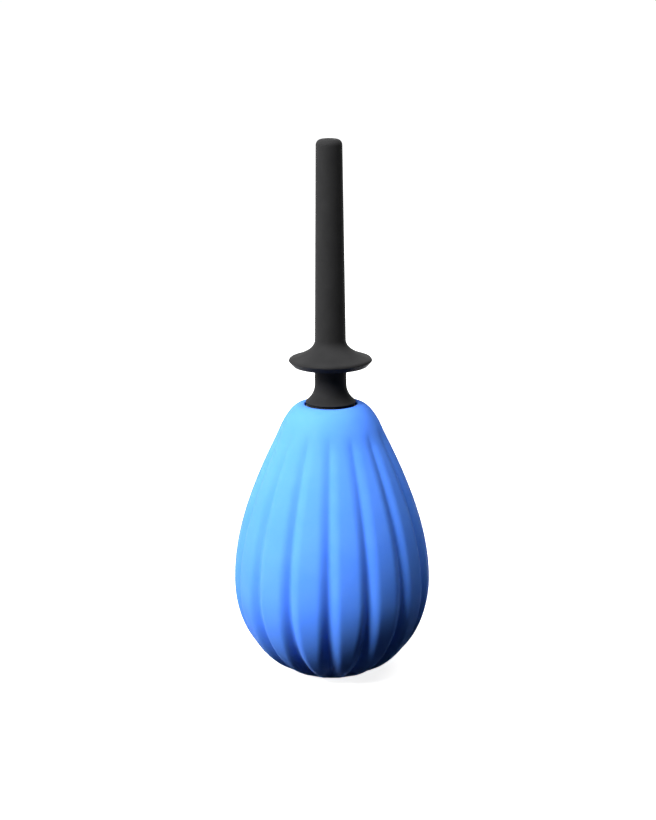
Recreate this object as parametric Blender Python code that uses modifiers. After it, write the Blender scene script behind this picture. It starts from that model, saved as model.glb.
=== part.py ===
"""Hand bulb syringe: a pleated soft bulb standing on its base, with a screw-in nozzle and guard flange."""

import math

import bmesh
import bpy
from mathutils import Matrix, Vector
from mathutils.geometry import interpolate_bezier

MM = 0.001

# Clearance between pieces that meet, and the distance under which turned points merge
GAP = 0.3 * MM
MERGE = 0.001 * MM

# Bulb: an egg-shaped shell, widest low down
BULB_HEIGHT = 99.5 * MM
BULB_RADIUS = 35.4 * MM
BULB_WALL = 2.3 * MM
BASE_CUT = 0.8 * MM
BASE_TURN = 5.3 * MM
BELLY_HEIGHT = 34.3 * MM
BELLY_FULLNESS = 17.0 * MM
SHOULDER_DROP = 7.0 * MM
SHOULDER_RADIUS = 17.45 * MM
SHOULDER_SLOPE = 0.52
SHOULDER_FULLNESS = 22.9 * MM
LIP_ROUND = 0.5 * MM
LIP_LEAD = 1.4 * MM
NECK_LAND = 2.2 * MM
NECK_FLARE = 3.4 * MM

# Pleats: a groove's half width, also as the largest share of the pitch, the rounding of its bottom, its depth
# below the shoulder and further down, the flattening of the lobes, and the inner face's share of it all
PLEAT_COUNT = 15
PLEAT_WIDTH = 3.5 * MM
PLEAT_SPREAD = 0.48
PLEAT_ROUND = 0.55 * MM
PLEAT_START = 0.55 * MM
PLEAT_LEAD = 6.5 * MM
PLEAT_GROWTH = 2.0 * MM
PLEAT_RUN = 78.0 * MM
PLEAT_FLAT = 0.15 * MM
PLEAT_FADE_BASE = 8.0 * MM
PLEAT_INSIDE = 0.6
PLEAT_FRONT = math.radians(-90)

# Nozzle: spigot, flared foot, waist, guard flange and tapered tube with one outlet
BORE_RADIUS = 3.0 * MM
OUTLET_RADIUS = 1.8 * MM
OUTLET_LENGTH = 3.0 * MM
SPIGOT_WALL = 2.2 * MM
SPIGOT_END = 1.2 * MM
FOOT_SINK = 0.6 * MM
FOOT_GAP = 0.3 * MM
FOOT_RIM = 1.4 * MM
FOOT_ROUND = 0.2 * MM
FOOT_STEP = 0.6 * MM
FOOT_EDGE = 0.4 * MM
FOOT_FLARE = 6.1 * MM
WAIST_RADIUS = 5.65 * MM
WAIST_FILLET = 0.8 * MM
FLANGE_RISE = 16.2 * MM
FLANGE_RADIUS = 14.8 * MM
FLANGE_EDGE = 1.05 * MM
FLANGE_EDGE_START = 70
BEVEL_IN = 1.75 * MM
BEVEL_DOWN = 1.8 * MM
CROWN_HEIGHT = 7.7 * MM
CROWN_LEAD = 2.5 * MM
CROWN_BEND_OUT = 2.15 * MM
CROWN_BEND_UP = 3.0 * MM
TUBE_LENGTH = 78.3 * MM
TUBE_RADIUS = 5.5 * MM
TIP_RADIUS = 4.65 * MM
TIP_ROUND = 2.1 * MM

# Thread between the spigot and the bushing: one ridge, and a groove cut some whole turns past both its ends
THREAD_PITCH = 3.0 * MM
THREAD_TURNS = 2
THREAD_DEPTH = 1.1 * MM
THREAD_CREST = 0.7 * MM
THREAD_ROOT = 1.4 * MM
THREAD_RUNOUT = 1.0 * MM
THREAD_OVERRUN = 2

# Seal: a round-section ring on the spigot's shank, under the foot
SEAL_SECTION = 1.6 * MM
SHANK_STEP = 0.9 * MM

# Neck bushing: the threaded insert that the bulb's mouth grips by a bead
BUSHING_RIM = 0.7 * MM
BUSHING_TAIL = 1.3 * MM
BEAD_HEIGHT = 1.4 * MM
BEAD_WIDTH = 3.0 * MM
BEAD_DROP = 5.4 * MM

# Facets round the axis, and steps along the curved stretches of the sections
PLEAT_FACETS = 5
BULB_FACETS = PLEAT_COUNT * PLEAT_FACETS
TURNED_FACETS = 40
SEAL_SECTION_FACETS = 8
OUTER_SIDE_STEPS = (9, 8)
INNER_SIDE_STEPS = (10, 6)
SWEEP_STEPS = 5
ROUND_STEPS = 3

# Radii that follow from the fits, from the nozzle's bore outwards
CORE_RADIUS = BORE_RADIUS + SPIGOT_WALL
THREAD_RADIUS = CORE_RADIUS + THREAD_DEPTH
SHANK_RADIUS = CORE_RADIUS + SHANK_STEP
SEAL_RADIUS = SHANK_RADIUS + GAP + SEAL_SECTION / 2
SEAT_RADIUS = SHANK_RADIUS + GAP + SEAL_SECTION + GAP
BUSHING_BORE = CORE_RADIUS + GAP
BUSHING_RADIUS = SEAT_RADIUS + BUSHING_RIM
BEAD_RADIUS = BUSHING_RADIUS + BEAD_HEIGHT
MOUTH_RADIUS = BUSHING_RADIUS + GAP
FOOT_RADIUS = MOUTH_RADIUS - FOOT_GAP

# The rounded underside is a quarter ellipse that the base plane cuts short
BASE_ANGLE = math.degrees(math.asin(BELLY_HEIGHT / (BELLY_HEIGHT + BASE_CUT)))
BASE_RADIUS = BASE_TURN + (BULB_RADIUS - BASE_TURN) * math.cos(math.radians(BASE_ANGLE))

# Heights that follow from the fits, from the bulb's lip downwards and then up the nozzle
FOOT_Z = BULB_HEIGHT - FOOT_SINK
BUSHING_Z = FOOT_Z - GAP
SEAL_Z = FOOT_Z - GAP - SEAL_SECTION / 2
SEAT_Z = SEAL_Z - SEAL_SECTION / 2 - GAP
THREAD_Z = SEAT_Z - THREAD_RUNOUT - THREAD_TURNS * THREAD_PITCH
SPIGOT_Z = THREAD_Z - SPIGOT_END
BUSHING_END_Z = SPIGOT_Z - BUSHING_TAIL
BEAD_Z = BUSHING_Z - BEAD_DROP
NECK_Z = BEAD_Z - BEAD_WIDTH / 2 - GAP - NECK_LAND
SHOULDER_Z = BULB_HEIGHT - SHOULDER_DROP
FLANGE_Z = FOOT_Z + FLANGE_RISE
TIP_Z = FLANGE_Z + TUBE_LENGTH


def clear_scene():
    for obj in list(bpy.data.objects):
        bpy.data.objects.remove(obj, do_unlink=True)


def new_collection(name):
    collection = bpy.data.collections.new(name)
    bpy.context.scene.collection.children.link(collection)
    return collection


def material(name, colour, roughness, metallic=0.0):
    mat = bpy.data.materials.new(name)
    mat.use_nodes = True
    shader = mat.node_tree.nodes["Principled BSDF"]
    shader.inputs["Base Color"].default_value = (*colour, 1.0)
    shader.inputs["Roughness"].default_value = roughness
    shader.inputs["Metallic"].default_value = metallic
    return mat


def arc(centre, radius, start, end, steps):
    """Points (r, z) on a circular arc, with its angles in degrees from the outward direction."""
    points = []
    for step in range(steps + 1):
        angle = math.radians(start + (end - start) * step / steps)
        points.append((centre[0] + radius * math.cos(angle), centre[1] + radius * math.sin(angle)))
    return points


def bezier(start, start_handle, end_handle, end, steps):
    """Points (r, z) on a cubic curve between two points with their handles."""
    corners = [Vector(point) for point in (start, start_handle, end_handle, end)]
    return [(p.x, p.y) for p in interpolate_bezier(*corners, steps + 1)]


def lowered(points, origin_z):
    """The same points measured from a piece's own origin on the axis."""
    return [(r, z - origin_z) for r, z in points]


def turned(name, points, facets, collection, is_ring=False, turns=1, pitch=0.0):
    """A profile swept about the Z axis, as a mesh object; a pitch makes it a helix."""
    mesh = bpy.data.meshes.new(name)
    edges = [(i, i + 1) for i in range(len(points) - 1)]
    if is_ring:
        edges.append((len(points) - 1, 0))
    mesh.from_pydata([(r, 0.0, z) for r, z in points], edges, [])
    profile = bpy.data.objects.new(name, mesh)
    collection.objects.link(profile)
    screw = profile.modifiers.new("Turn", "SCREW")
    screw.axis = "Z"
    screw.steps = facets
    screw.render_steps = facets
    screw.iterations = turns
    screw.screw_offset = pitch
    screw.use_merge_vertices = pitch == 0.0
    screw.merge_threshold = MERGE
    evaluated = profile.evaluated_get(bpy.context.evaluated_depsgraph_get())
    profile.data = bpy.data.meshes.new_from_object(evaluated)
    profile.modifiers.clear()
    return profile


def smooth(obj, angle=35.0):
    obj.data.shade_smooth()
    obj.data.set_sharp_from_angle(angle=math.radians(angle))


def cap_ends(obj):
    """Close the two open ends of a helix."""
    shape = bmesh.new()
    shape.from_mesh(obj.data)
    rims = [edge for edge in shape.edges if edge.is_boundary]
    bmesh.ops.holes_fill(shape, edges=rims, sides=0)
    bmesh.ops.recalc_face_normals(shape, faces=shape.faces)
    shape.to_mesh(obj.data)
    shape.free()


def combine(target, tool, operation):
    """Join or cut a piece with a helper, which stays as a wire guide."""
    tool.hide_render = True
    tool.display_type = "WIRE"
    tool.parent = target
    boolean = target.modifiers.new(operation.title(), "BOOLEAN")
    boolean.operation = operation
    boolean.solver = "EXACT"
    boolean.object = tool


def thread_helix(name, inner, outer, clearance, first_turn, turns, origin_z, collection):
    """One thread ridge, in step with every other ridge that starts a whole number of turns away.

    It is turned by half a facet, so that its edges miss those of the round piece that it meets.
    """
    crest = THREAD_CREST / 2 + clearance
    root = THREAD_ROOT / 2 + clearance
    z = THREAD_Z + first_turn * THREAD_PITCH - origin_z
    slope = (root - crest) / THREAD_DEPTH
    core = CORE_RADIUS + clearance
    inner_half = root + slope * (core - inner)
    section = [(outer, z + crest), (outer, z - crest), (inner, z - inner_half), (inner, z + inner_half)]
    ridge = turned(name, section, TURNED_FACETS, collection, True, turns, THREAD_PITCH)
    ridge.data.transform(Matrix.Rotation(math.pi / TURNED_FACETS, 4, "Z"))
    cap_ends(ridge)
    return ridge


def bulb_side(upper_steps, lower_steps):
    """The bulb's outline from the shoulder down to the edge of its flat base."""
    shoulder = (SHOULDER_RADIUS, SHOULDER_Z)
    shoulder_handle = (SHOULDER_RADIUS + SHOULDER_SLOPE * SHOULDER_FULLNESS, SHOULDER_Z - SHOULDER_FULLNESS)
    belly = (BULB_RADIUS, BELLY_HEIGHT)
    belly_handle = (BULB_RADIUS, BELLY_HEIGHT + BELLY_FULLNESS)
    upper = bezier(shoulder, shoulder_handle, belly_handle, belly, upper_steps)
    width = BULB_RADIUS - BASE_TURN
    drop = BELLY_HEIGHT + BASE_CUT
    sweep = arc((0, 0), 1, 0, -BASE_ANGLE, lower_steps)
    lower = [(BASE_TURN + width * across, BELLY_HEIGHT + drop * down) for across, down in sweep]
    return upper + lower[1:]


def offset_inwards(points, distance):
    """A line a wall's thickness inside an outline that runs from top to bottom."""
    shifted = []
    for i, (r, z) in enumerate(points):
        before = points[max(i - 1, 0)]
        after = points[min(i + 1, len(points) - 1)]
        along = Vector((after[0] - before[0], after[1] - before[1])).normalized()
        shifted.append((r + along.y * distance, z - along.x * distance))
    return shifted


def bulb_profile():
    """The shell's section, up the inside from the floor and down the outside to the base."""
    inside = offset_inwards(bulb_side(*INNER_SIDE_STEPS), BULB_WALL)
    inside[-1] = (BASE_RADIUS, BULB_WALL)
    flare_z = NECK_Z - NECK_FLARE
    wall = [point for point in inside if point[1] < flare_z]
    wall.reverse()
    top = wall[-1]
    below = wall[-2]
    rise = (flare_z - top[1]) / (top[1] - below[1])
    lean = (top[0] + (top[0] - below[0]) * rise, flare_z)
    ceiling = bezier(top, lean, (lean[0], NECK_Z), (MOUTH_RADIUS, NECK_Z), SWEEP_STEPS)
    groove_radius = BEAD_RADIUS + GAP
    groove_low = BEAD_Z - BEAD_WIDTH / 2 - GAP
    groove_high = BEAD_Z + BEAD_WIDTH / 2 + GAP
    slant = BEAD_HEIGHT / 2
    groove = [
        (MOUTH_RADIUS, groove_low),
        (groove_radius, groove_low + slant),
        (groove_radius, groove_high - slant),
        (MOUTH_RADIUS, groove_high),
    ]
    crest = (MOUTH_RADIUS + LIP_ROUND, BULB_HEIGHT)
    lip = arc((crest[0], crest[1] - LIP_ROUND), LIP_ROUND, 180, 90, ROUND_STEPS)
    shoulder = (SHOULDER_RADIUS, SHOULDER_Z)
    shoulder_lead = (SHOULDER_RADIUS - SHOULDER_SLOPE * SHOULDER_DROP, BULB_HEIGHT)
    crown = bezier(crest, (crest[0] + LIP_LEAD, BULB_HEIGHT), shoulder_lead, shoulder, SWEEP_STEPS)
    outside = bulb_side(*OUTER_SIDE_STEPS)
    floor = [(0.0, BULB_WALL)]
    base = [(0.0, 0.0)]
    return floor + wall + ceiling[1:] + groove + lip + crown[1:] + outside[1:] + base


def fade(value):
    """A smooth step from 0 to 1."""
    t = min(max(value, 0.0), 1.0)
    return t * t * (3 - 2 * t)


def pleat_depth(radius, height, angle):
    """How far the wall is drawn in: by grooves that deepen from the shoulder down, between flat lobes."""
    pitch = 2 * math.pi / PLEAT_COUNT
    turn = angle / pitch
    off_groove = abs(turn - round(turn))
    width = min(PLEAT_WIDTH, PLEAT_SPREAD * pitch * radius)
    below = max(SHOULDER_Z - height, 0.0)
    start = fade(below / PLEAT_LEAD)
    growth = min(below / PLEAT_RUN, 1.0)
    bottom = PLEAT_ROUND * (1 + growth)
    up_wall = math.hypot(off_groove * pitch * radius, bottom) - bottom
    valley = max(1 - up_wall / width, 0.0) ** 2
    flat = (1 - math.cos(2 * math.pi * off_groove)) / 2
    from_base = 1.0
    if height < BELLY_HEIGHT:
        from_base = fade((radius - BASE_RADIUS) / PLEAT_FADE_BASE)
    groove = (PLEAT_START * start + PLEAT_GROWTH * growth) * valley
    return (groove + PLEAT_FLAT * start * flat) * from_base


def draw_in_pleats(mesh):
    """Move the turned shell's outer face in along its normals, and its inner face by a part of that."""
    normals = [vertex.normal.copy() for vertex in mesh.vertices]
    for vertex, normal in zip(mesh.vertices, normals):
        x, y, z = vertex.co
        radius = math.hypot(x, y)
        if radius < BASE_RADIUS:
            continue
        depth = pleat_depth(radius, z, math.atan2(y, x))
        faces_out = x * normal.x + y * normal.y > 0
        vertex.co -= normal * (depth if faces_out else -depth * PLEAT_INSIDE)


def make_bulb(collection):
    bulb = turned("bulb", bulb_profile(), BULB_FACETS, collection)
    draw_in_pleats(bulb.data)
    bulb.data.transform(Matrix.Rotation(PLEAT_FRONT, 4, "Z"))
    bulb.data.materials.append(material("soft_blue", (0.10, 0.37, 0.90), 0.45))
    smooth(bulb, 50.0)
    return bulb


def make_bushing(bulb, collection, helpers):
    slant = BEAD_HEIGHT / 2
    bead_low = BEAD_Z - BEAD_WIDTH / 2
    bead_high = BEAD_Z + BEAD_WIDTH / 2
    points = [
        (SEAT_RADIUS, BUSHING_Z),
        (BUSHING_RADIUS, BUSHING_Z),
        (BUSHING_RADIUS, bead_high),
        (BEAD_RADIUS, bead_high - slant),
        (BEAD_RADIUS, bead_low + slant),
        (BUSHING_RADIUS, bead_low),
        (BUSHING_RADIUS, BUSHING_END_Z),
        (BUSHING_BORE, BUSHING_END_Z),
        (BUSHING_BORE, SEAT_Z),
        (SEAT_RADIUS, SEAT_Z),
    ]
    bushing = turned("neck_bushing", lowered(points, BUSHING_Z), TURNED_FACETS, collection, True)
    groove_turns = THREAD_TURNS + 2 * THREAD_OVERRUN
    groove = thread_helix("bushing_thread_cutter", CORE_RADIUS - GAP, THREAD_RADIUS + GAP, GAP,
                          -THREAD_OVERRUN, groove_turns, BUSHING_Z, helpers)
    combine(bushing, groove, "DIFFERENCE")
    bushing.parent = bulb
    bushing.location.z = BUSHING_Z
    bushing.data.materials.append(material("dark_grey_nylon", (0.09, 0.09, 0.095), 0.4))
    smooth(bushing)
    return bushing


def make_seal(bushing, collection):
    bpy.ops.mesh.primitive_torus_add(
        major_radius=SEAL_RADIUS,
        minor_radius=SEAL_SECTION / 2,
        major_segments=TURNED_FACETS,
        minor_segments=SEAL_SECTION_FACETS,
    )
    seal = bpy.context.object
    seal.name = "seal_ring"
    for holder in list(seal.users_collection):
        holder.objects.unlink(seal)
    collection.objects.link(seal)
    seal.parent = bushing
    seal.location.z = SEAL_Z - BUSHING_Z
    seal.data.materials.append(material("seal_rubber", (0.03, 0.03, 0.032), 0.6))
    smooth(seal, 60.0)
    return seal


def nozzle_profile():
    """The nozzle's section: down the outside from the outlet to the spigot's end, and back up the bore."""
    tip = arc((TIP_RADIUS - TIP_ROUND, TIP_Z - TIP_ROUND), TIP_ROUND, 90, 0, ROUND_STEPS)
    crown_top = (TUBE_RADIUS, FLANGE_Z + CROWN_HEIGHT)
    crown_lead = (TUBE_RADIUS, crown_top[1] - CROWN_LEAD)
    crown_bend = (TUBE_RADIUS + CROWN_BEND_OUT, FLANGE_Z + CROWN_BEND_UP)
    rim = arc((FLANGE_RADIUS - FLANGE_EDGE, FLANGE_Z), FLANGE_EDGE, FLANGE_EDGE_START, 0, ROUND_STEPS)
    crown = bezier(crown_top, crown_lead, crown_bend, rim[0], SWEEP_STEPS)
    bevel = (FLANGE_RADIUS - BEVEL_IN, FLANGE_Z - BEVEL_DOWN)
    under_corner = (WAIST_RADIUS + WAIST_FILLET, bevel[1] - WAIST_FILLET)
    under = arc(under_corner, WAIST_FILLET, 90, 180, ROUND_STEPS)
    flare_low = (FOOT_RADIUS - FOOT_EDGE, FOOT_Z + FOOT_RIM + FOOT_EDGE)
    flare_high = (WAIST_RADIUS, flare_low[1] + FOOT_FLARE)
    flare = bezier(
        flare_high,
        (WAIST_RADIUS, flare_low[1] + FOOT_FLARE / 2),
        ((WAIST_RADIUS + flare_low[0]) / 2, flare_low[1] + FOOT_FLARE / 5),
        flare_low,
        SWEEP_STEPS,
    )
    foot = arc((FOOT_RADIUS - FOOT_ROUND, FOOT_Z + FOOT_RIM), FOOT_ROUND, 0, -90, ROUND_STEPS)
    spigot = [
        (FOOT_RADIUS - FOOT_STEP, foot[-1][1]),
        (FOOT_RADIUS - FOOT_STEP, FOOT_Z),
        (SHANK_RADIUS, FOOT_Z),
        (SHANK_RADIUS, SEAT_Z + GAP),
        (CORE_RADIUS, SEAT_Z + GAP),
        (CORE_RADIUS, SPIGOT_Z),
    ]
    bore = [
        (BORE_RADIUS, SPIGOT_Z),
        (BORE_RADIUS, TIP_Z - OUTLET_LENGTH - BORE_RADIUS),
        (OUTLET_RADIUS, TIP_Z - OUTLET_LENGTH),
        (OUTLET_RADIUS, TIP_Z),
    ]
    return tip + crown + rim[1:] + [bevel] + under + flare + foot + spigot + bore


def make_nozzle(seal, collection, helpers):
    nozzle = turned("nozzle", lowered(nozzle_profile(), FOOT_Z), TURNED_FACETS, collection, True)
    ridge = thread_helix("nozzle_thread_ridge", CORE_RADIUS - GAP, THREAD_RADIUS, 0.0,
                         0, THREAD_TURNS, FOOT_Z, helpers)
    combine(nozzle, ridge, "UNION")
    nozzle.parent = seal
    nozzle.location.z = FOOT_Z - SEAL_Z
    nozzle.data.materials.append(material("satin_black", (0.032, 0.032, 0.033), 0.5))
    smooth(nozzle)
    return nozzle


def main():
    clear_scene()
    collection = new_collection("bulb_syringe")
    helpers = new_collection("bulb_syringe_helpers")
    bulb = make_bulb(collection)
    bushing = make_bushing(bulb, collection, helpers)
    seal = make_seal(bushing, collection)
    make_nozzle(seal, collection, helpers)


main()
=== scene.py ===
"""Looks of the hand bulb syringe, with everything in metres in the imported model's frame.

The pieces are a soft pleated bulb, a black nozzle, a threaded bushing and a seal. They stand in a
white studio.
"""

import math

import bmesh
import bpy
import numpy as np
from mathutils import Matrix, Vector


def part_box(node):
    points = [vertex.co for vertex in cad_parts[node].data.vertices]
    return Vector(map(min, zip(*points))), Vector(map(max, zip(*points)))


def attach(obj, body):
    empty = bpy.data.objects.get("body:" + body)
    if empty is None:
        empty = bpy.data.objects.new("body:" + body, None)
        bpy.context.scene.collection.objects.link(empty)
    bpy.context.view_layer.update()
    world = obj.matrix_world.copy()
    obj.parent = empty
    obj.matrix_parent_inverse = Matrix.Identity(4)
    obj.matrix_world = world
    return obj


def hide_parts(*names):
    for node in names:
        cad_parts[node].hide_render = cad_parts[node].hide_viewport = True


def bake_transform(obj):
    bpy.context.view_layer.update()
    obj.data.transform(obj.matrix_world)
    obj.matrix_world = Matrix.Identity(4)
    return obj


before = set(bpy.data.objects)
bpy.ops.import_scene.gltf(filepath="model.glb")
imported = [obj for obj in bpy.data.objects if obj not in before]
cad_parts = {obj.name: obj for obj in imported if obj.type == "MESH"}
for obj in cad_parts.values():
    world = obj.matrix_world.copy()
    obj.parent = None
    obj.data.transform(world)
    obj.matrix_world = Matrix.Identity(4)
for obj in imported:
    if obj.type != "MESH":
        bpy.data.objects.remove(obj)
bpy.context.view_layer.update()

MM = 0.001
GAP = 0.3 * MM
MERGE = 0.001 * MM

# Sizes that the frame gives, from the lowest and highest corners of its nodes
bulb_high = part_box("bulb")[1]
nozzle_low, nozzle_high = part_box("nozzle")
bushing_low, bushing_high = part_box("neck_bushing")
seal_low, seal_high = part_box("seal_ring")
BULB_HEIGHT = bulb_high.z
SPIGOT_Z = nozzle_low.z
TIP_Z = nozzle_high.z
FLANGE_RADIUS = nozzle_high.x
BUSHING_END_Z = bushing_low.z
BUSHING_Z = bushing_high.z
BEAD_RADIUS = bushing_high.x
SEAL_LOW = seal_low.z
SEAL_SECTION = seal_high.z - seal_low.z
SEAL_RADIUS = seal_high.x - SEAL_SECTION / 2

# Bulb: an egg-shaped shell, widest low down
BULB_RADIUS = 35.4 * MM
BULB_WALL = 2.3 * MM
BASE_CUT = 0.8 * MM
BASE_TURN = 5.3 * MM
BELLY_HEIGHT = 34.3 * MM
BELLY_FULLNESS = 17.0 * MM
SHOULDER_DROP = 7.0 * MM
SHOULDER_Z = BULB_HEIGHT - SHOULDER_DROP
SHOULDER_RADIUS = 17.45 * MM
SHOULDER_SLOPE = 0.52
SHOULDER_FULLNESS = 22.9 * MM
LIP_ROUND = 0.5 * MM
LIP_LEAD = 1.4 * MM
NECK_LAND = 2.2 * MM
NECK_FLARE = 3.4 * MM

# Pleats: grooves round the bulb that die out at the shoulder and at the base
PLEAT_COUNT = 15
PLEAT_FRONT = math.radians(-90)
PLEAT_WIDTH = 3.5 * MM
PLEAT_SPREAD = 0.48
PLEAT_ROUND = 0.55 * MM
PLEAT_START = 0.55 * MM
PLEAT_LEAD = 6.5 * MM
PLEAT_GROWTH = 2.0 * MM
PLEAT_RUN = 78.0 * MM
PLEAT_FLAT = 0.15 * MM
PLEAT_FADE_BASE = 8.0 * MM
PLEAT_INSIDE = 0.6
PLEAT_FACETS = 24
BULB_FACETS = PLEAT_COUNT * PLEAT_FACETS

# Nozzle: spigot, flared foot, waist, guard flange and tapered tube with one outlet
BORE_RADIUS = 3.0 * MM
OUTLET_RADIUS = 1.8 * MM
OUTLET_LENGTH = 3.0 * MM
FOOT_Z = BUSHING_Z + GAP
FOOT_RADIUS = 9.0 * MM
FOOT_RIM = 1.4 * MM
FOOT_ROUND = 0.2 * MM
FOOT_STEP = 0.6 * MM
FOOT_EDGE = 0.4 * MM
FOOT_FLARE = 6.1 * MM
WAIST_RADIUS = 5.65 * MM
WAIST_FILLET = 0.8 * MM
FLANGE_RISE = 16.2 * MM
FLANGE_Z = FOOT_Z + FLANGE_RISE
FLANGE_EDGE = 1.05 * MM
FLANGE_EDGE_START = 70  # degrees
BEVEL_IN = 1.75 * MM
BEVEL_DOWN = 1.8 * MM
BEVEL_ROUND = 0.25 * MM
CROWN_HEIGHT = 7.7 * MM
CROWN_LEAD = 2.5 * MM
CROWN_BEND_OUT = 2.15 * MM
CROWN_BEND_UP = 3.0 * MM
TUBE_RADIUS = 5.5 * MM
TIP_RADIUS = 4.65 * MM
TIP_ROUND = 2.1 * MM
CORE_RADIUS = 5.2 * MM
SHANK_RADIUS = 6.1 * MM
TURNED_FACETS = 144

# Bushing: the threaded insert that the bulb's mouth grips by a bead
BEAD_HEIGHT = 1.4 * MM
BEAD_WIDTH = 3.0 * MM
BEAD_SLANT = 0.7 * MM
BEAD_DROP = 5.4 * MM
BEAD_Z = BUSHING_Z - BEAD_DROP
BUSHING_RADIUS = BEAD_RADIUS - BEAD_HEIGHT
BUSHING_BORE = CORE_RADIUS + GAP
SEAT_RADIUS = 8.3 * MM
SEAT_Z = SEAL_LOW - GAP
SHANK_Z = SEAT_Z + GAP
MOUTH_RADIUS = BUSHING_RADIUS + GAP
NECK_Z = BEAD_Z - BEAD_WIDTH / 2 - GAP - NECK_LAND
EDGE_ROUND = 0.2 * MM
EDGE_STEPS = 4

# Thread: one ridge on the spigot, tapered over a part of a turn at each end, in step with the
# groove that runs all the way down the bushing
SPIGOT_END = 1.2 * MM
THREAD_Z = SPIGOT_Z + SPIGOT_END
THREAD_PITCH = 3.0 * MM
THREAD_TURNS = 2
THREAD_DEPTH = 1.1 * MM
THREAD_CREST = 0.7 * MM
THREAD_ROOT = 1.4 * MM
THREAD_TAPER = 0.3
THREAD_START = math.radians(4.5)
SPARE_TURNS = 2

# Turn shift of a wall whose rows close on themselves
CLOSED = 0

# Materials: linear colours, and the ranges of noise or pointiness over which they change
BLUE_DEEP = (0.076, 0.250, 0.97)
BLUE_PALE = (0.089, 0.274, 0.99)
# Painted shade: the bulb's folds are darkened by this colour, multiplied into the blue
PAINTED_FOLD_SHADE = (0.55, 0.66, 0.86)
BLACK_DEEP = (0.0175, 0.0175, 0.018)
BLACK_PALE = (0.022, 0.022, 0.0225)
RUBBED = (0.012, 0.012, 0.012)
NYLON_DEEP = (0.075, 0.076, 0.08)
NYLON_PALE = (0.10, 0.101, 0.106)
RUBBER_BLACK = (0.022, 0.022, 0.023)
TALC = (0.07, 0.07, 0.068)
BLACK = (0.0, 0.0, 0.0)
WHITE = (1.0, 1.0, 1.0)
NOISE_REACH = (0.3, 0.7)
TALC_REACH = (0.45, 0.75)
# Pointiness over which the painted shade in the folds fades out
PAINTED_FOLD_REACH = (0.40, 0.50)
EDGE_REACH = (0.52, 0.62)

# Camera: fitted to the photograph's outline, in the photograph's frame
IMAGE_HEIGHT = 820
FOCAL_PIXELS = 2068
SENSOR = 36.0
VIEW_HEIGHT = 97.0 * MM
VIEW_DISTANCE = 737.0 * MM
VIEW_ELEVATION = 13.76
VIEW_AZIMUTH = 1.9
VIEW_ROLL = -0.41
VIEW_OFFSET = -1.0 * MM

# Studio: a floor that runs to the horizon, whiter further off, and a dim light from all round
FLOOR_SIZE = 40.0
FLOOR_DROP = 0.02 * MM
FLOOR_BOUNCE = (0.012, 0.012, 0.012)
FLOOR_PALE = (0.8, 0.8, 0.8)
GLOW_DISTANCE = (0.2, 0.7)
GLOW_STRENGTH = (0.86, 1.0)
DIM_COLOUR = (0.95, 0.97, 1.0)
DIM_STRENGTH = 0.02

# Soft square lamps: name, azimuth and elevation seen from the bulb, side and power in watts
LAMP_AIM = Vector((0.0, 0.0, 0.08))
LAMP_DISTANCE = 1.0
LAMPS = (
    ("key", -43, 43, 0.4, 16.5),
    ("top", 10, 78, 0.6, 3.4),
    ("left_high", -65, 62, 0.5, 5.8),
    ("left_low", -80, 20, 0.5, 5.8),
    ("right", 95, 62, 0.5, 3.4),
)


def fade(value):
    """A smooth step from 0 to 1."""
    t = np.clip(value, 0.0, 1.0)
    return t * t * (3 - 2 * t)


def arc(centre, radius, start, end, steps):
    """Points (r, z) on a circular arc, with its angles in degrees from the outward direction."""
    angles = np.radians(np.linspace(start, end, steps + 1))
    return [(centre[0] + radius * math.cos(a), centre[1] + radius * math.sin(a)) for a in angles]


def bezier(start, start_handle, end_handle, end, steps):
    """Points (r, z) on a cubic curve between two points with their handles."""
    corners = np.array([start, start_handle, end_handle, end])
    t = np.linspace(0, 1, steps + 1)[:, None]
    weights = np.hstack([(1 - t) ** 3, 3 * t * (1 - t) ** 2, 3 * t * t * (1 - t), t ** 3])
    return [tuple(point) for point in weights @ corners]


def line(start, end, steps):
    """Evenly spaced points (r, z) on a straight stretch."""
    return [tuple(point) for point in np.linspace(start, end, steps + 1)]


def angles_round(facets):
    """The angle of each facet's first corner, in radians from +X."""
    return np.arange(facets) * 2 * math.pi / facets


def ring_points(radii, heights, facets):
    """A row of points round the axis; radii and heights are numbers or one value for each facet."""
    theta = angles_round(facets)
    return np.stack([radii * np.cos(theta), radii * np.sin(theta), heights + 0 * theta], axis=1)


def turned(profile, facets):
    """Rows of points for a section (r, z) that is turned about the axis."""
    return [ring_points(r, z, facets) for r, z in profile]


def skin(rows, turn_shift):
    """Faces between successive rows.

    A helical wall's rows come back turn_shift rows higher after each turn.
    """
    facets = len(rows[0])
    faces = []
    for low in range(len(rows) - 1):
        for j in range(facets - 1):
            corner = low * facets + j
            faces.append((corner, corner + 1, corner + facets + 1, corner + facets))
        if low + 1 + turn_shift < len(rows):
            last = low * facets + facets - 1
            first = (low + turn_shift) * facets
            faces.append((last, first, first + facets, last + facets))
    return faces


def add_object(name, data):
    """A new object in the scene."""
    made = bpy.data.objects.new(name, data)
    bpy.context.scene.collection.objects.link(made)
    return made


def mesh_piece(name, walls, sharp_angle):
    """A closed piece of walls that join where they meet, each given by its rows and turn shift."""
    points = []
    faces = []
    for rows, turn_shift in walls:
        start = len(points)
        faces += [tuple(start + corner for corner in face) for face in skin(rows, turn_shift)]
        points += np.concatenate(rows).tolist()
    mesh = bpy.data.meshes.new(name)
    mesh.from_pydata(points, [], faces)
    shape = bmesh.new()
    shape.from_mesh(mesh)
    bmesh.ops.remove_doubles(shape, verts=shape.verts, dist=MERGE)
    bmesh.ops.recalc_face_normals(shape, faces=shape.faces)
    shape.to_mesh(mesh)
    shape.free()
    mesh.shade_smooth()
    mesh.set_sharp_from_angle(angle=math.radians(sharp_angle))
    return add_object(name, mesh)


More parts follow.
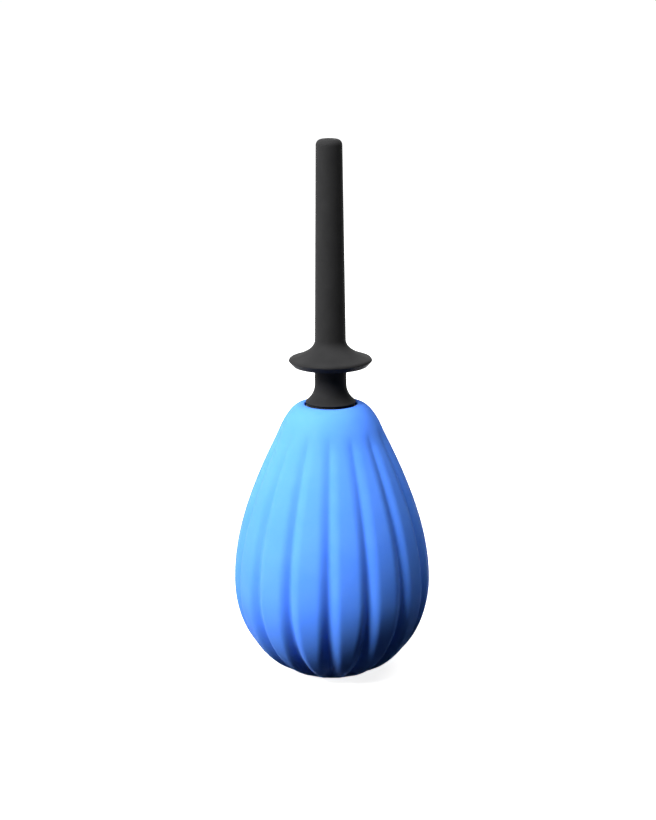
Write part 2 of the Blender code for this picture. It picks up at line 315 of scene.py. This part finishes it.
def bulb_side(upper_steps, lower_steps):
    """The bulb's outline from the shoulder down to the edge of its flat base."""
    shoulder = (SHOULDER_RADIUS, SHOULDER_Z)
    shoulder_out = SHOULDER_RADIUS + SHOULDER_SLOPE * SHOULDER_FULLNESS
    shoulder_handle = (shoulder_out, SHOULDER_Z - SHOULDER_FULLNESS)
    belly = (BULB_RADIUS, BELLY_HEIGHT)
    belly_handle = (BULB_RADIUS, BELLY_HEIGHT + BELLY_FULLNESS)
    upper = bezier(shoulder, shoulder_handle, belly_handle, belly, upper_steps)
    drop = BELLY_HEIGHT + BASE_CUT
    width = BULB_RADIUS - BASE_TURN
    sweep = arc((0, 0), 1, 0, -math.degrees(math.asin(BELLY_HEIGHT / drop)), lower_steps)
    lower = [(BASE_TURN + width * r, BELLY_HEIGHT + drop * z) for r, z in sweep]
    return upper + lower[1:]


def outward_normals(profile):
    """Normals (r, z) of a line that runs down the outside, in the plane of the section."""
    along = np.gradient(np.array(profile), axis=0)
    normals = np.stack([-along[:, 1], along[:, 0]], axis=1)
    return normals / np.linalg.norm(normals, axis=1)[:, None]


def pleat_depth(radius, height, base_radius, theta):
    """How far the wall is drawn in at each angle of one row.

    The grooves deepen from the shoulder down, and the lobes between them are flattened a little.
    """
    pitch = 2 * math.pi / PLEAT_COUNT
    turn = (theta - PLEAT_FRONT) / pitch
    off_groove = np.abs(turn - np.round(turn))
    width = min(PLEAT_WIDTH, PLEAT_SPREAD * pitch * radius)
    below = SHOULDER_Z - height
    start = fade(below / PLEAT_LEAD)
    growth = np.clip(below / PLEAT_RUN, 0, 1)
    bottom = PLEAT_ROUND * (1 + growth)
    up_wall = np.hypot(off_groove * pitch * radius, bottom) - bottom
    valley = np.clip(1 - up_wall / width, 0, 1) ** 2
    flat = (1 - np.cos(2 * math.pi * off_groove)) / 2
    from_base = fade((radius - base_radius) / PLEAT_FADE_BASE) if height < BELLY_HEIGHT else 1.0
    groove_depth = PLEAT_START * start + PLEAT_GROWTH * growth
    return (groove_depth * valley + PLEAT_FLAT * start * flat) * from_base


def pleated(profile, share=1.0):
    """Rows of a wall, drawn in along its normals by a share of the pleats.

    The section runs down the outside.
    """
    theta = angles_round(BULB_FACETS)
    base_radius = profile[-1][0]
    rows = []
    for (r, z), (normal_r, normal_z) in zip(profile, outward_normals(profile)):
        depth = share * pleat_depth(r, z, base_radius, theta)
        rows.append(ring_points(r - normal_r * depth, z - normal_z * depth, BULB_FACETS))
    return rows


def bulb_rows():
    """The shell from the middle of its floor, up the inside, over the lip and down to the base."""
    outside = bulb_side(upper_steps=70, lower_steps=60)
    inside = np.array(bulb_side(upper_steps=36, lower_steps=30))
    inside -= outward_normals(inside) * BULB_WALL
    inside[-1] = (outside[-1][0], BULB_WALL)
    flare_z = NECK_Z - NECK_FLARE
    wall = [tuple(point) for point in inside if point[1] < flare_z]
    top = wall[0]
    below = wall[1]
    lean = top[0] + (top[0] - below[0]) * (flare_z - top[1]) / (top[1] - below[1])
    ceiling = bezier(top, (lean, flare_z), (lean, NECK_Z), (MOUTH_RADIUS, NECK_Z), steps=10)
    groove_low = BEAD_Z - BEAD_WIDTH / 2 - GAP
    groove_high = BEAD_Z + BEAD_WIDTH / 2 + GAP
    groove = [
        (MOUTH_RADIUS, groove_low),
        (BEAD_RADIUS + GAP, groove_low + BEAD_SLANT),
        (BEAD_RADIUS + GAP, groove_high - BEAD_SLANT),
        (MOUTH_RADIUS, groove_high),
    ]
    crest = (MOUTH_RADIUS + LIP_ROUND, BULB_HEIGHT)
    lip = arc((crest[0], crest[1] - LIP_ROUND), LIP_ROUND, 180, 90, steps=12)
    crest_handle = (crest[0] + LIP_LEAD, BULB_HEIGHT)
    shoulder_in = SHOULDER_RADIUS - SHOULDER_SLOPE * (BULB_HEIGHT - SHOULDER_Z)
    crown = bezier(crest, crest_handle, (shoulder_in, BULB_HEIGHT), outside[0], steps=18)
    floor = line((0, BULB_WALL), (wall[-1][0], BULB_WALL), steps=6)
    base = line((outside[-1][0], 0), (0, 0), steps=6)
    rows = turned(floor[:-1], BULB_FACETS)
    rows += pleated(wall, PLEAT_INSIDE)[::-1]
    rows += turned(ceiling[1:] + groove + lip + crown[1:-1], BULB_FACETS)
    rows += pleated(outside)
    rows += turned(base[1:], BULB_FACETS)
    return rows


def thread_section(clearance):
    """Half the thread's width at its crest and at its root."""
    return THREAD_CREST / 2 + clearance, THREAD_ROOT / 2 + clearance


def thread_rise(heights, clearance, is_tapered):
    """How far the thread stands out of its wall at each point of a row."""
    turn = (angles_round(TURNED_FACETS) - THREAD_START) / (2 * math.pi)
    place = (heights - THREAD_Z) / THREAD_PITCH - turn
    ridge = np.round(place)
    crest, root = thread_section(clearance)
    rise = np.clip((root - np.abs(place - ridge) * THREAD_PITCH) / (root - crest), 0, 1)
    if is_tapered:
        along = ridge + turn
        rise = rise * fade(along / THREAD_TAPER) * fade((THREAD_TURNS - along) / THREAD_TAPER)
    return THREAD_DEPTH * rise


def threaded_wall(low, high, radius, clearance, is_tapered):
    """A wall between two heights whose rows follow the helix, with its turn shift."""
    crest, root = thread_section(clearance)
    middle = (crest + root) / 2
    bends = [-root, -middle, -crest, 0.0, crest, middle, root, THREAD_PITCH / 2]
    climb = THREAD_PITCH * (angles_round(TURNED_FACETS) - THREAD_START) / (2 * math.pi)
    first = math.floor((low - THREAD_Z) / THREAD_PITCH) - SPARE_TURNS
    last = math.ceil((high - THREAD_Z) / THREAD_PITCH) + SPARE_TURNS
    rows = []
    for turn in range(first, last):
        for bend in bends:
            heights = np.clip(THREAD_Z + turn * THREAD_PITCH + bend + climb, low, high)
            radii = radius + thread_rise(heights, clearance, is_tapered)
            rows.append(ring_points(radii, heights, TURNED_FACETS))
    return rows, len(bends)


def threaded_edge(height, radius, clearance, is_tapered):
    """The row in which a threaded wall ends."""
    heights = np.full(TURNED_FACETS, height)
    radii = radius + thread_rise(heights, clearance, is_tapered)
    return ring_points(radii, heights, TURNED_FACETS)


def nozzle_outside():
    """The nozzle's section from the tip down the outside to the step under its shank."""
    tip_centre = (TIP_RADIUS - TIP_ROUND, TIP_Z - TIP_ROUND)
    tip = arc(tip_centre, TIP_ROUND, 90, 0, steps=8)
    rim_centre = (FLANGE_RADIUS - FLANGE_EDGE, FLANGE_Z)
    rim = arc(rim_centre, FLANGE_EDGE, FLANGE_EDGE_START, 0, steps=10)
    crown_top = (TUBE_RADIUS, FLANGE_Z + CROWN_HEIGHT)
    crown_lead = (TUBE_RADIUS, crown_top[1] - CROWN_LEAD)
    crown_bend = (TUBE_RADIUS + CROWN_BEND_OUT, FLANGE_Z + CROWN_BEND_UP)
    tube = line(tip[-1], crown_top, steps=24)
    crown = bezier(crown_top, crown_lead, crown_bend, rim[0], steps=24)
    slant = math.degrees(math.atan2(BEVEL_DOWN, BEVEL_IN))
    bevel_centre = (FLANGE_RADIUS - BEVEL_IN, FLANGE_Z - BEVEL_DOWN + BEVEL_ROUND)
    bevel = arc(bevel_centre, BEVEL_ROUND, slant - 90, -90, steps=5)
    fillet_centre = (WAIST_RADIUS + WAIST_FILLET, FLANGE_Z - BEVEL_DOWN - WAIST_FILLET)
    under = arc(fillet_centre, WAIST_FILLET, 90, 180, steps=8)
    flare_low = (FOOT_RADIUS - FOOT_EDGE, FOOT_Z + FOOT_RIM + FOOT_EDGE)
    flare_high = (WAIST_RADIUS, flare_low[1] + FOOT_FLARE)
    flare_lead = (WAIST_RADIUS, flare_low[1] + FOOT_FLARE / 2)
    flare_end = ((WAIST_RADIUS + flare_low[0]) / 2, flare_low[1] + FOOT_FLARE / 5)
    flare = bezier(flare_high, flare_lead, flare_end, flare_low, steps=20)
    foot = arc((FOOT_RADIUS - FOOT_ROUND, FOOT_Z + FOOT_RIM), FOOT_ROUND, 0, -90, steps=6)
    step = [(FOOT_RADIUS - FOOT_STEP, foot[-1][1]), (FOOT_RADIUS - FOOT_STEP, FOOT_Z)]
    shank = [(SHANK_RADIUS, FOOT_Z), (SHANK_RADIUS, SHANK_Z), (CORE_RADIUS, SHANK_Z)]
    upper = tip + tube[1:] + crown[1:] + rim[1:] + bevel
    return upper + under + flare + foot + step + shank


def nozzle_walls():
    """The nozzle's outside, its threaded spigot, and the bore with the ends round it."""
    end_z = SPIGOT_Z + EDGE_ROUND
    end = arc((CORE_RADIUS - EDGE_ROUND, end_z), EDGE_ROUND, 0, -90, EDGE_STEPS)
    bore = [
        (BORE_RADIUS, SPIGOT_Z),
        (BORE_RADIUS, TIP_Z - OUTLET_LENGTH - BORE_RADIUS),
        (OUTLET_RADIUS, TIP_Z - OUTLET_LENGTH),
        (OUTLET_RADIUS, TIP_Z),
        (TIP_RADIUS - TIP_ROUND, TIP_Z),
    ]
    return [
        (turned(nozzle_outside(), TURNED_FACETS), CLOSED),
        threaded_wall(end_z, SHANK_Z, CORE_RADIUS, clearance=0.0, is_tapered=True),
        (turned(end + bore, TURNED_FACETS), CLOSED),
    ]


def bushing_walls():
    """The bushing's outside with the seal's seat and the bead, and its threaded bore."""
    bead_low = BEAD_Z - BEAD_WIDTH / 2
    bead_high = BEAD_Z + BEAD_WIDTH / 2
    round_radius = BUSHING_RADIUS - EDGE_ROUND
    seat = [(SEAT_RADIUS, SEAT_Z), (SEAT_RADIUS, BUSHING_Z)]
    rim = arc((round_radius, BUSHING_Z - EDGE_ROUND), EDGE_ROUND, 90, 0, EDGE_STEPS)
    bead = [
        (BUSHING_RADIUS, bead_high),
        (BEAD_RADIUS, bead_high - BEAD_SLANT),
        (BEAD_RADIUS, bead_low + BEAD_SLANT),
        (BUSHING_RADIUS, bead_low),
    ]
    tail = arc((round_radius, BUSHING_END_Z + EDGE_ROUND), EDGE_ROUND, 0, -90, EDGE_STEPS)
    groove = {"radius": BUSHING_BORE, "clearance": GAP, "is_tapered": False}
    outside = [threaded_edge(SEAT_Z, **groove)]
    outside += turned(seat + rim + bead + tail, TURNED_FACETS)
    outside.append(threaded_edge(BUSHING_END_Z, **groove))
    return [(outside, CLOSED), threaded_wall(BUSHING_END_Z, SEAT_Z, **groove)]


def seal_walls():
    """The seal's one wall, round in section."""
    centre = (SEAL_RADIUS, SEAL_LOW + SEAL_SECTION / 2)
    section = arc(centre, SEAL_SECTION / 2, 0, 360, steps=32)
    return [(turned(section, TURNED_FACETS), CLOSED)]


def set_inputs(tree, target, inputs):
    """Sets a node's inputs, by name or number, to values or links them to other nodes' outputs."""
    for key, value in inputs.items():
        if isinstance(value, bpy.types.NodeSocket):
            tree.links.new(value, target.inputs[key])
        else:
            target.inputs[key].default_value = value


def node(tree, kind, inputs=None, **settings):
    """A new shader node with its settings and inputs."""
    made = tree.nodes.new(kind)
    for name, value in settings.items():
        setattr(made, name, value)
    set_inputs(tree, made, inputs or {})
    return made


def opaque(colour):
    """A colour as a colour socket takes it."""
    return (*colour, 1.0)


def noise(tree, size, detail):
    """Noise whose blotches are about as large as given."""
    place = node(tree, "ShaderNodeTexCoord").outputs["Object"]
    inputs = {"Vector": place, "Scale": 1 / size, "Detail": detail}
    return node(tree, "ShaderNodeTexNoise", inputs).outputs["Fac"]


def pointiness(tree):
    """Below 0.5 in folds and above it on edges."""
    return node(tree, "ShaderNodeNewGeometry").outputs["Pointiness"]


def ramp(tree, factor, reach, low, high):
    """A colour that runs from low to high while the factor runs over its reach."""
    made = node(tree, "ShaderNodeValToRGB", {"Fac": factor})
    for element, place, colour in zip(made.color_ramp.elements, reach, (low, high)):
        element.position = place
        element.color = opaque(colour)
    return made.outputs["Color"]


def rescaled(tree, value, source, target):
    """A value carried over from one range to another, and held within it."""
    inputs = {"Value": value, "From Min": source[0], "From Max": source[1]}
    inputs.update({"To Min": target[0], "To Max": target[1]})
    return node(tree, "ShaderNodeMapRange", inputs).outputs["Result"]


def mixed(tree, kind, first, second, factor):
    """Two colours, mixed in one of the ways that Blender names."""
    inputs = {"Fac": factor, "Color1": first, "Color2": second}
    return node(tree, "ShaderNodeMixRGB", inputs, blend_type=kind).outputs["Color"]


def mottled(tree, size, detail, low, high, reach=NOISE_REACH):
    """A colour that wanders between two in blotches."""
    return ramp(tree, noise(tree, size, detail), reach, low, high)


def uneven(tree, size, detail, low, high):
    """A value that wanders between two in blotches."""
    return rescaled(tree, noise(tree, size, detail), NOISE_REACH, (low, high))


def grain(tree, size, detail, depth, strength, under=None):
    """The normal of a surface with bumps, on top of other bumps where they are given."""
    inputs = {"Height": noise(tree, size, detail), "Distance": depth, "Strength": strength}
    if under:
        inputs["Normal"] = under
    return node(tree, "ShaderNodeBump", inputs).outputs["Normal"]


def new_material(name, constants):
    """A material with its node tree, and its Principled shader with the constant values set."""
    mat = bpy.data.materials.new(name)
    mat.use_nodes = True
    shader = mat.node_tree.nodes["Principled BSDF"]
    set_inputs(mat.node_tree, shader, constants)
    return mat, mat.node_tree, shader


def silicone_material():
    """Soft blue silicone: satin, a little waxy, with faint mottling, and shade painted darker into
    its folds.
    """
    mat, tree, shader = new_material("blue_silicone", {
        "IOR": 1.04,
        "Subsurface Weight": 0.12,
        "Subsurface Radius": (0.15, 0.45, 1.0),
        "Subsurface Scale": 2.0 * MM,
        "Sheen Weight": 0.04,
        "Sheen Roughness": 0.6,
    })
    blue = mottled(tree, size=14 * MM, detail=4, low=BLUE_DEEP, high=BLUE_PALE)
    # Painted shade: the folds are darkened in the base colour where pointiness is low
    folds = ramp(tree, pointiness(tree), PAINTED_FOLD_REACH, PAINTED_FOLD_SHADE, WHITE)
    fine = grain(tree, size=0.35 * MM, detail=3, depth=0.02 * MM, strength=0.5)
    set_inputs(tree, shader, {
        "Base Color": mixed(tree, "MULTIPLY", blue, folds, factor=0.6),
        "Roughness": uneven(tree, size=5 * MM, detail=5, low=0.46, high=0.58),
        "Normal": grain(tree, size=6 * MM, detail=2, depth=0.08 * MM, strength=0.4, under=fine),
    })
    return mat


def black_plastic_material():
    """Satin black moulded plastic: fine spark-eroded grain, a little paler on rubbed edges."""
    mat, tree, shader = new_material("satin_black_plastic", {
        "IOR": 1.06,
        "Sheen Weight": 0.03,
        "Sheen Roughness": 0.5,
    })
    black = mottled(tree, size=7 * MM, detail=4, low=BLACK_DEEP, high=BLACK_PALE)
    edges = ramp(tree, pointiness(tree), EDGE_REACH, BLACK, RUBBED)
    set_inputs(tree, shader, {
        "Base Color": mixed(tree, "ADD", black, edges, factor=1.0),
        "Roughness": uneven(tree, size=2.5 * MM, detail=5, low=0.40, high=0.54),
        "Normal": grain(tree, size=0.22 * MM, detail=3, depth=0.02 * MM, strength=0.55),
    })
    return mat


def nylon_material():
    """Dark grey nylon with faint flow marks from moulding."""
    mat, tree, shader = new_material("dark_grey_nylon", {"IOR": 1.15})
    set_inputs(tree, shader, {
        "Base Color": mottled(tree, size=4 * MM, detail=5, low=NYLON_DEEP, high=NYLON_PALE),
        "Roughness": uneven(tree, size=1.5 * MM, detail=4, low=0.32, high=0.48),
        "Normal": grain(tree, size=0.3 * MM, detail=2, depth=0.015 * MM, strength=0.5),
    })
    return mat


def rubber_material():
    """Matt black rubber with a dusting of talc."""
    mat, tree, shader = new_material("matt_black_rubber", {"Specular IOR Level": 0.3})
    dust = mottled(tree, size=0.6 * MM, detail=6, low=RUBBER_BLACK, high=TALC, reach=TALC_REACH)
    set_inputs(tree, shader, {
        "Base Color": dust,
        "Roughness": uneven(tree, size=0.8 * MM, detail=4, low=0.55, high=0.75),
        "Normal": grain(tree, size=0.25 * MM, detail=3, depth=0.02 * MM, strength=0.6),
    })
    return mat


def dress(piece, material, replaced):
    """Gives a piece its material and puts it in the place of a CAD node."""
    piece.data.materials.append(material)
    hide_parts(replaced)


def make_pieces():
    """The four pieces; the nozzle, bushing and seal hang from their bodies, and the bulb stays put.
    """
    bulb = mesh_piece("soft_bulb", [(bulb_rows(), CLOSED)], sharp_angle=50)
    dress(bulb, silicone_material(), "bulb")
    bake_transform(bulb)
    nozzle = mesh_piece("black_nozzle", nozzle_walls(), sharp_angle=35)
    dress(nozzle, black_plastic_material(), "nozzle")
    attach(nozzle, "nozzle")
    bushing = mesh_piece("threaded_bushing", bushing_walls(), sharp_angle=35)
    dress(bushing, nylon_material(), "neck_bushing")
    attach(bushing, "neck")
    seal = mesh_piece("round_seal", seal_walls(), sharp_angle=60)
    dress(seal, rubber_material(), "seal_ring")
    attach(seal, "seal")


def direction(azimuth, elevation):
    """Unit vector from the object towards a viewer or lamp; azimuth 0 is the photographed front."""
    turn = math.radians(azimuth)
    rise = math.radians(elevation)
    level = math.cos(rise)
    return Vector((math.sin(turn) * level, -math.cos(turn) * level, math.sin(rise)))


def make_camera():
    """The photograph's camera: it aims a little beside the axis, and is rolled a little."""
    data = bpy.data.cameras.new("photo_view")
    data.sensor_width = SENSOR
    data.lens = FOCAL_PIXELS / IMAGE_HEIGHT * SENSOR
    camera = add_object("photo_view", data)
    towards = direction(VIEW_AZIMUTH, VIEW_ELEVATION)
    facing = (-towards).to_track_quat("-Z", "Y").to_matrix()
    aim = Vector((0, 0, VIEW_HEIGHT)) + facing @ Vector((VIEW_OFFSET, 0, 0))
    rolled = facing @ Matrix.Rotation(math.radians(VIEW_ROLL), 3, "Z")
    camera.matrix_world = Matrix.Translation(aim + towards * VIEW_DISTANCE) @ rolled.to_4x4()
    bpy.context.scene.camera = camera


def make_lamp(name, azimuth, elevation, side, power):
    """A square lamp that aims at the bulb."""
    data = bpy.data.lights.new(name, "AREA")
    data.shape = "SQUARE"
    data.size = side
    data.energy = power
    lamp = add_object(name, data)
    towards = direction(azimuth, elevation)
    lamp.rotation_euler = (-towards).to_track_quat("-Z", "Y").to_euler()
    lamp.location = LAMP_AIM + towards * LAMP_DISTANCE


def larger(tree, first, second):
    """The larger of two values."""
    inputs = {0: first, 1: second}
    return node(tree, "ShaderNodeMath", inputs, operation="MAXIMUM").outputs[0]


def shown_apart(tree, bounced, seen):
    """One shader for light that bounces about, and another for rays that show what they meet.

    Those are the camera's rays, and mirrored or refracted ones.
    """
    path = node(tree, "ShaderNodeLightPath").outputs
    mirrored = larger(tree, path["Is Glossy Ray"], path["Is Transmission Ray"])
    is_seen = larger(tree, path["Is Camera Ray"], mirrored)
    inputs = {0: is_seen, 1: bounced.outputs[0], 2: seen.outputs[0]}
    return node(tree, "ShaderNodeMixShader", inputs).outputs[0]


def floor_material():
    """Nearly black to bounced light; seen, it is white apart from the object's shadow."""
    mat = bpy.data.materials.new("pale_floor")
    mat.use_nodes = True
    tree = mat.node_tree
    tree.nodes.clear()
    place = node(tree, "ShaderNodeTexCoord").outputs["Object"]
    away = node(tree, "ShaderNodeVectorMath", {"Vector": place}, operation="LENGTH")
    strength = rescaled(tree, away.outputs["Value"], GLOW_DISTANCE, GLOW_STRENGTH)
    glow = node(tree, "ShaderNodeEmission", {"Strength": strength})
    shadowed = node(tree, "ShaderNodeBsdfDiffuse", {"Color": opaque(FLOOR_PALE)})
    white = node(tree, "ShaderNodeAddShader", {0: shadowed.outputs[0], 1: glow.outputs[0]})
    bounce = node(tree, "ShaderNodeBsdfDiffuse", {"Color": opaque(FLOOR_BOUNCE)})
    node(tree, "ShaderNodeOutputMaterial", {"Surface": shown_apart(tree, bounce, white)})
    return mat


def make_floor():
    """A wide floor just under the bulb's base."""
    half = FLOOR_SIZE / 2
    signs = [(-1, -1), (1, -1), (1, 1), (-1, 1)]
    mesh = bpy.data.meshes.new("floor")
    mesh.from_pydata([(half * x, half * y, -FLOOR_DROP) for x, y in signs], [], [(0, 1, 2, 3)])
    mesh.materials.append(floor_material())
    floor = add_object("floor", mesh)


def make_world():
    """White behind the object, and a dim even light from all round it."""
    world = bpy.data.worlds.new("studio")
    world.use_nodes = True
    bpy.context.scene.world = world
    tree = world.node_tree
    tree.nodes.clear()
    inputs = {"Color": opaque(DIM_COLOUR), "Strength": DIM_STRENGTH}
    dim = node(tree, "ShaderNodeBackground", inputs)
    white = node(tree, "ShaderNodeBackground", {"Color": opaque(WHITE), "Strength": 1.0})
    node(tree, "ShaderNodeOutputWorld", {"Surface": shown_apart(tree, dim, white)})


def make_studio():
    """Camera, floor, background and lamps."""
    bpy.context.scene.view_settings.view_transform = "Standard"
    make_camera()
    make_floor()
    make_world()
    for lamp in LAMPS:
        make_lamp(*lamp)


make_pieces()
make_studio()
